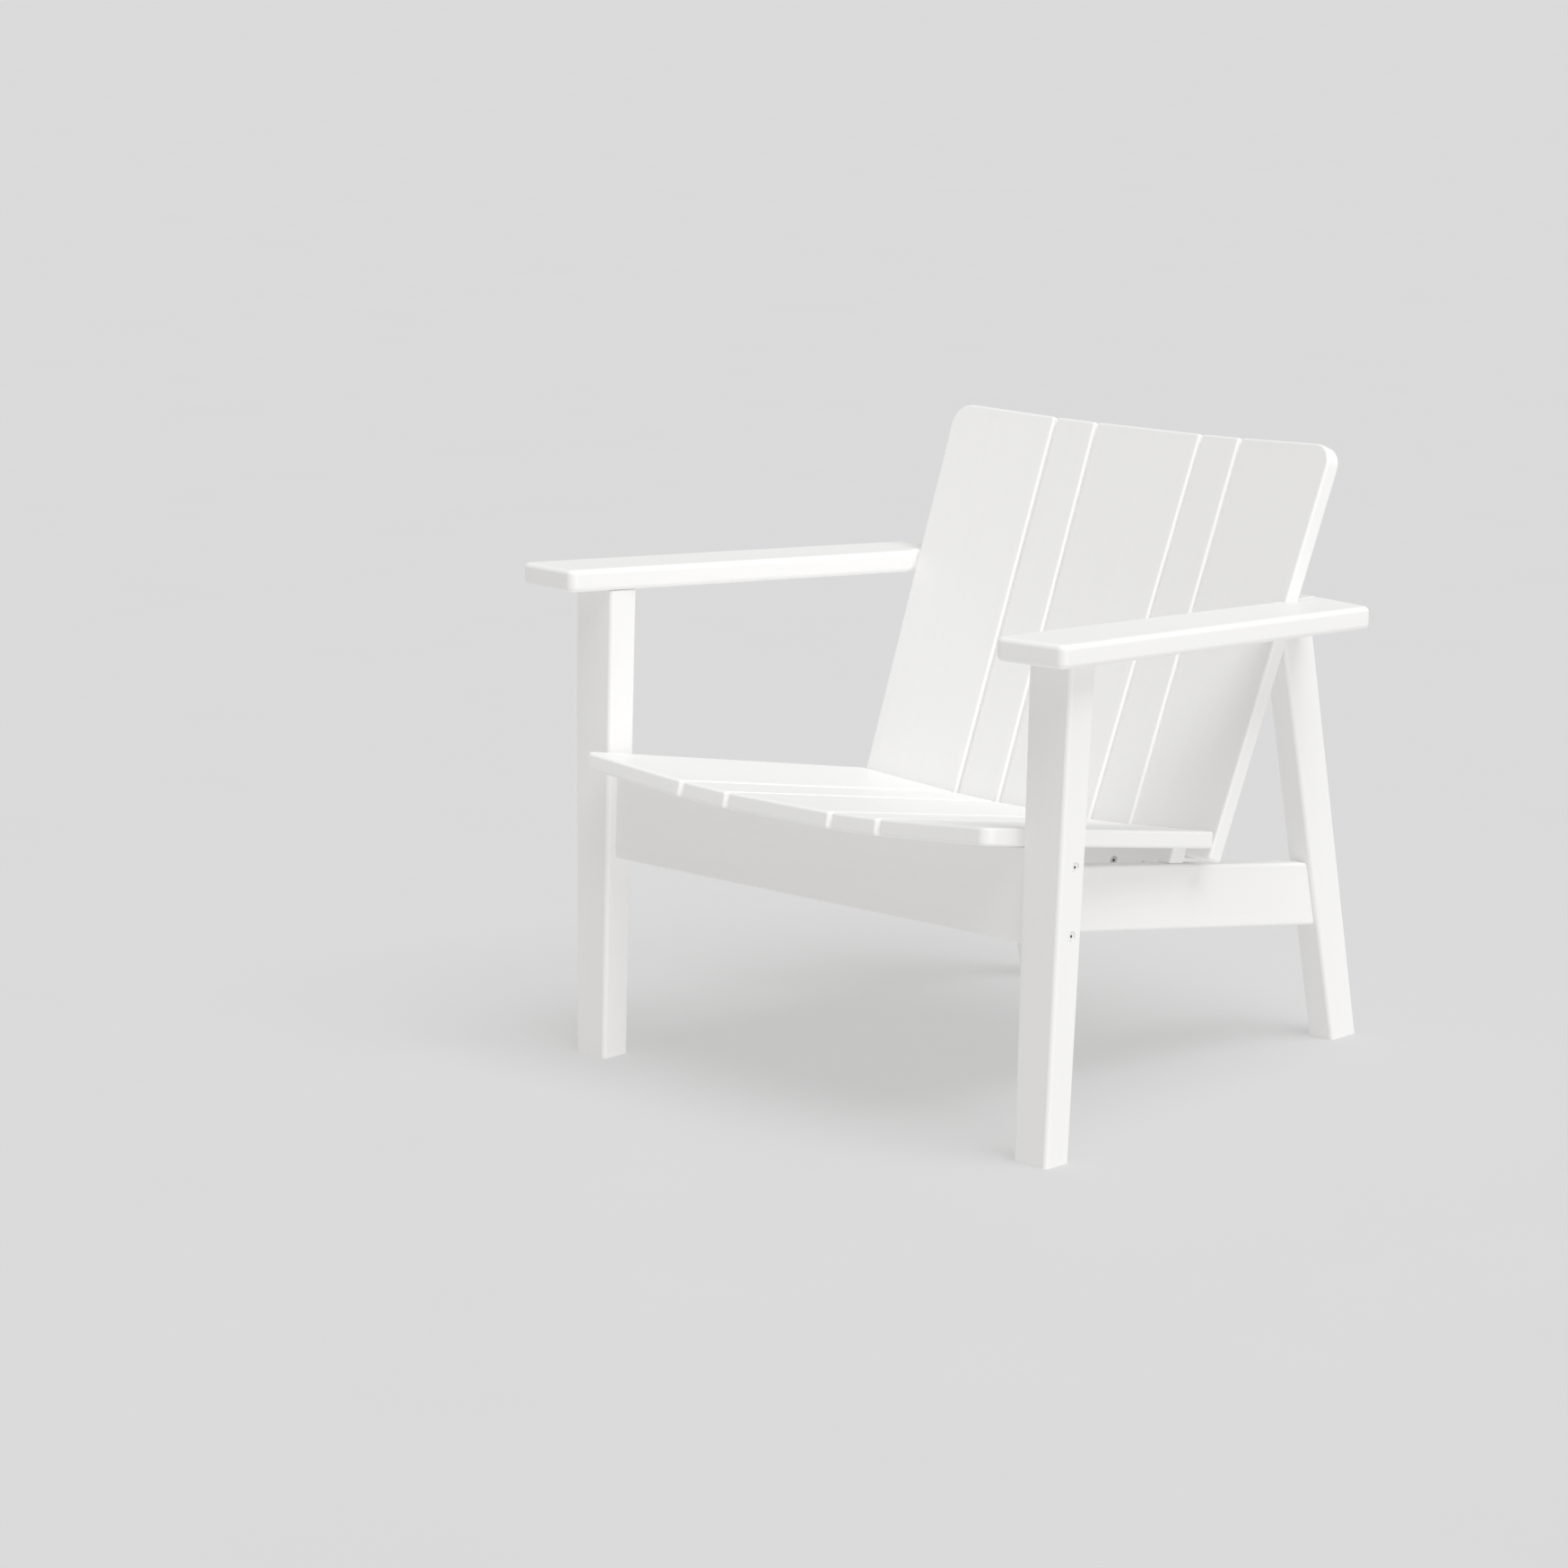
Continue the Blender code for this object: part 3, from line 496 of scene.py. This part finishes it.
def screw_axis(node):
    """The middle of a CAD screw's head, the way it points and its length."""
    points = np.array([v.co for v in NODES[node].data.vertices], float)
    middle = points.mean(0)
    axis = np.linalg.svd(points - middle, full_matrices=False)[2][0]
    along = (points - middle) @ axis
    beside = np.linalg.norm(points - middle - np.outer(along, axis), axis=1)
    if beside[along > along.max() - MM].max() > beside[along < along.min() + MM].max():
        axis, along = -axis, -along
    head_ring = points[along < along.min() + SKIN]
    head = (head_ring.max(0) + head_ring.min(0)) / 2
    return Vector(head), Vector(axis), float(along.max() - along.min())


def screw_profile(length):
    """Half-section of a countersunk screw with a six-lobe socket and a rounded head rim."""
    rim = HEAD_RIM
    top = HEAD_SINK
    return [
        (0, top + SOCKET_DEPTH + SOCKET_POINT, 0),
        (SOCKET_RADIUS * SOCKET_TAPER, top + SOCKET_DEPTH, SOCKET_LOBE),
        (SOCKET_RADIUS, top + 1.25 * SOCKET_RIM, SOCKET_LOBE),
        (SOCKET_RADIUS + SOCKET_RIM, top, SOCKET_LOBE / 2),
        (HEAD_RADIUS - 2 * rim, top, 0),
        (HEAD_RADIUS - rim / 2, top + rim / 4, 0),
        (HEAD_RADIUS, top + rim, 0),
        (SHANK_RADIUS, HEAD_DEPTH, 0),
        (SHANK_RADIUS, length - TIP_LENGTH, 0),
        (0, length, 0),
    ]


def hole_profile(length):
    """Half-section of the pocket and the bore that the screw sits in."""
    wide = SHANK_RADIUS + HOLE_CLEARANCE
    return [
        (0, -HEAD_DEPTH, 0),
        (POCKET_RADIUS, -HEAD_DEPTH, 0),
        (POCKET_RADIUS, POCKET_DEPTH, 0),
        (wide, HEAD_DEPTH + 2 * HOLE_CLEARANCE, 0),
        (wide, length + HOLE_CLEARANCE, 0),
        (0, length + HOLE_CLEARANCE, 0),
    ]


def boards_of(screw):
    """The boards that a screw goes through, head first."""
    side = "left" if "left" in screw else "right"
    for start, boards in SCREW_BOARDS.items():
        if screw.startswith(start.format(side=side)):
            return [board.format(side=side) for board in boards]
    raise ValueError(f"no boards for {screw}")


# ---------------------------------------------------------------- pieces

def edge_radius(node):
    """The rounding of a board's edges."""
    return next(radius for prefix, radius in EDGE_RADII.items() if node.startswith(prefix))


def finish_mesh(piece, seed):
    """Smooth shading with flat faces kept flat, and the attributes that the material reads."""
    mesh = piece.data
    mesh.shade_smooth()
    mesh.set_sharp_from_angle(angle=SMOOTH_ANGLE)
    points = np.zeros(len(mesh.vertices) * 3)
    mesh.vertices.foreach_get("co", points)
    points = points.reshape(-1, 3)
    middle = (points.max(0) + points.min(0)) / 2
    axes = np.linalg.svd(points - points.mean(0), full_matrices=False)[2]
    for axis in axes[:2]:
        axis *= math.copysign(1, axis[np.argmax(np.abs(axis))])
    axes[2] = np.cross(axes[0], axes[1])
    draw = random.Random(seed)
    shift = np.array([draw.uniform(-PLACE_SHIFT, PLACE_SHIFT) for _ in range(3)])
    place = (points - middle) @ axes.T + shift
    attribute = mesh.attributes.new("board_place", "FLOAT_VECTOR", "POINT")
    attribute.data.foreach_set("vector", place.astype(np.float32).ravel())
    normals = np.zeros(len(mesh.polygons) * 3)
    mesh.polygons.foreach_get("normal", normals)
    facing = np.abs(normals.reshape(-1, 3) @ axes[0]) ** END_SHARPNESS
    attribute = mesh.attributes.new("sawn_end", "FLOAT", "FACE")
    attribute.data.foreach_set("value", facing.astype(np.float32))
    smooth = piece.modifiers.new("flat_faces", "WEIGHTED_NORMAL")
    smooth.keep_sharp = True
    smooth.weight = FLAT_FACE_WEIGHT


def cut_holes(piece, cutters):
    """Takes the cutters' shapes out of the piece and keeps the result as its mesh."""
    for cutter in cutters:
        modifier = piece.modifiers.new(cutter.name, "BOOLEAN")
        modifier.operation = "DIFFERENCE"
        modifier.solver = "EXACT"
        modifier.object = cutter
    bpy.context.view_layer.update()
    graph = bpy.context.evaluated_depsgraph_get()
    made = bpy.data.meshes.new_from_object(piece.evaluated_get(graph))
    piece.modifiers.clear()
    piece.data = made


def add_screw(name, finish, socket):
    """A finished screw in place of its CAD node, and the cutter for its hole."""
    head, axis, length = screw_axis(name)
    shape = turned(screw_profile(length), head, axis)
    socket_reach = SOCKET_RADIUS * (1 + SOCKET_LOBE) + WELD
    # Faces inside the socket get the second material, painted shade of the socket's hollow
    for face in shape.faces:
        reach = max((v.co - head).cross(axis).length for v in face.verts)
        face.material_index = int(reach < socket_reach)
    piece = new_piece(name + "_turned", shape, finish, socket)
    piece.data.shade_smooth()
    piece.data.set_sharp_from_angle(angle=SHARP_ANGLE)
    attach(piece, "root")
    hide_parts(name)
    return new_piece("hole_" + name, turned(hole_profile(length), head, axis))


def add_board(name, white, cutters, seed):
    """A finished board in place of its CAD node."""
    shape = board_shell(name)
    round_edges(shape, edge_radius(name), name.startswith(LONG_EDGES_ONLY))
    piece = new_piece(name + "_routed", shape, white)
    cut_holes(piece, cutters)
    finish_mesh(piece, seed)
    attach(piece, "root")
    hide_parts(name)


def build_chair():
    """Screws first, since the boards take their holes from them; pins and plates last."""
    white = board_material()
    steel = steel_material(
        "stainless_steel_turned", STEEL, STEEL_WORN, metallic=1.0, rough=(0.24, 0.42))
    coated = steel_material(
        "white_coated_steel", COAT, COAT_WORN, metallic=0.0, rough=(0.30, 0.44))
    # the socket's near-black steel is painted shade of its deep hollow
    socket = steel_material(
        "socket_painted_shade", SOCKET_SHADE, SOCKET_SHADE_PATCHES, metallic=0.6, rough=(0.45, 0.65))
    screws = sorted(name for name in NODES if "screw" in name)
    hardware = [name for name in NODES if name.startswith(("arm_pin", "arm_joint_plate"))]
    boards = sorted(set(NODES) - set(screws) - set(hardware))
    cutters = {name: [] for name in boards}
    spent = []
    for name in screws:
        cutter = add_screw(name, coated if name.startswith("leg_screw") else steel, socket)
        spent.append(cutter)
        for board in boards_of(name):
            cutters[board].append(cutter)
    for seed, name in enumerate(boards):
        add_board(name, white, cutters[name], seed)
    for cutter in spent:
        bpy.data.objects.remove(cutter)
    for name in hardware:
        for slot in NODES[name].material_slots:
            slot.material = steel


# ---------------------------------------------------------------- studio

def distant_light(name, lights, tint, angle, shadow):
    """A distant light; lights says how brightly it lights faces that look along X, Y and Z."""
    towards = Vector(lights)
    lamp = bpy.data.lights.new(name, "SUN")
    lamp.energy = towards.length * math.pi
    lamp.color = tint
    lamp.angle = angle
    lamp.use_shadow = shadow
    light = bpy.data.objects.new(name, lamp)
    light.rotation_euler = towards.to_track_quat("Z", "Y").to_euler()
    bpy.context.scene.collection.objects.link(light)


def backdrop():
    """A glowing half dome around the floor that only the camera sees."""
    shape = bmesh.new()
    bmesh.ops.create_uvsphere(shape, u_segments=64, v_segments=32, radius=BACKDROP_RADIUS)
    low = [v for v in shape.verts if v.co.z < BACKDROP_FOOT]
    bmesh.ops.delete(shape, geom=low, context="VERTS")
    n = Nodes("backdrop_glow")
    n.set(Base_Color=(0, 0, 0, 1), Specular_IOR_Level=0.0)
    n.set(Emission_Color=(1, 1, 1, 1), Emission_Strength=BACKDROP_GLOW)
    dome = new_piece("studio_backdrop", shape, n.material)
    dome.visible_diffuse = False
    dome.visible_glossy = False
    dome.visible_transmission = False
    dome.visible_volume_scatter = False
    dome.visible_shadow = False


def floor():
    """A wide pale sheet at the chair's feet."""
    shape = bmesh.new()
    half = FLOOR_HALF
    corners = [(-half, -half, 0), (half, -half, 0), (half, half, 0), (-half, half, 0)]
    shape.faces.new([shape.verts.new(corner) for corner in corners])
    new_piece("studio_floor", shape, floor_material())


def surround():
    """The even light that comes from everywhere above the floor."""
    world = bpy.data.worlds.new("even_grey")
    world.use_nodes = True
    background = world.node_tree.nodes["Background"]
    background.inputs["Color"].default_value = (*(SURROUND * tint for tint in SURROUND_TINT), 1)
    background.inputs["Strength"].default_value = 1.0
    bpy.context.scene.world = world


def place_camera():
    """A camera that looks along CAMERA_AIM, held level."""
    lens = bpy.data.cameras.new("photo_camera")
    lens.lens = CAMERA_LENS
    lens.sensor_width = CAMERA_SENSOR
    lens.clip_end = CAMERA_REACH
    camera = bpy.data.objects.new("photo_camera", lens)
    aim = CAMERA_AIM.normalized()
    right = CAMERA_AIM.cross(Vector((0, 0, 1))).normalized()
    level = Matrix.Identity(3)
    level.col[0] = right
    level.col[1] = right.cross(aim)
    level.col[2] = -aim
    camera.matrix_world = Matrix.Translation(CAMERA_PLACE) @ level.to_4x4()
    bpy.context.scene.collection.objects.link(camera)
    bpy.context.scene.camera = camera


def build_studio():
    floor()
    backdrop()
    surround()
    distant_light("soft_key", KEY, KEY_TINT, KEY_ANGLE, True)
    for name, lights in FILLS.items():
        distant_light(name, lights, FILL_TINT, FILL_ANGLE, False)
    place_camera()
    bpy.context.scene.view_settings.view_transform = "Standard"


build_chair()
build_studio()
